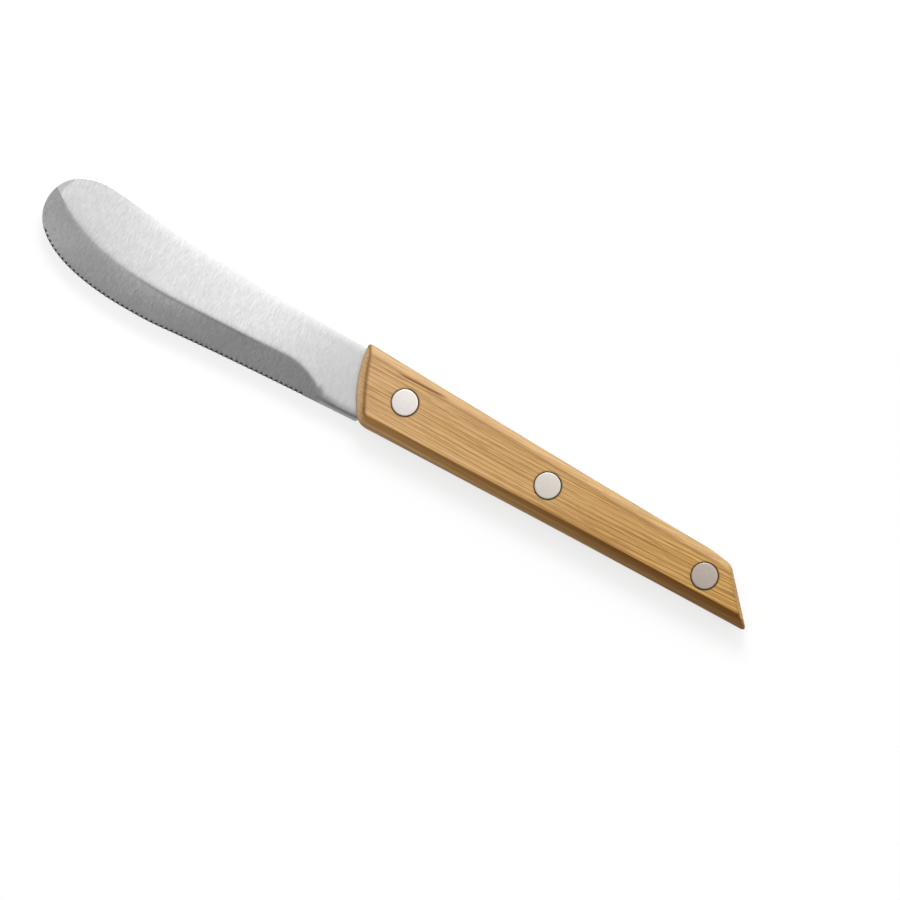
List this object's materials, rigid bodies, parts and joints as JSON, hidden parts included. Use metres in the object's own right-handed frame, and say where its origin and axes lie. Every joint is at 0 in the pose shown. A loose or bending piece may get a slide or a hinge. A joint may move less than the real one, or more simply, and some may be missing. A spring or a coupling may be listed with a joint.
{
  "type": "butter knife",
  "caption": "Butter knife with a broad round-nosed blade, a finely toothed ground edge and a bevelled bamboo handle riveted to a full tang.",
  "frame": {"origin": "middle of the knife's length and height, at the outer face of the lower scale, on which the knife lies", "axes": "+X along the knife from the tip to the butt, +Y from the cutting edge to the back of the blade, +Z through the thickness, up from the surface that it lies on"},
  "size_m": [0.2088, 0.0252, 0.0122],
  "materials": {
    "blade_steel": "fine brushing across the blade, with a cross-ground bevel",
    "bamboo": "satin, oiled, with fibres along the handle",
    "rivet_metal": "satin, turned, flush with the scales"
  },
  "bodies": {
    "root": {"blade": "blade_steel", "upper_scale": "bamboo", "lower_scale": "bamboo", "front_rivet_sleeve": "rivet_metal", "front_rivet_post": "rivet_metal", "middle_rivet_sleeve": "rivet_metal", "middle_rivet_post": "rivet_metal", "rear_rivet_sleeve": "rivet_metal", "rear_rivet_post": "rivet_metal"}
  },
  "joints": []
}
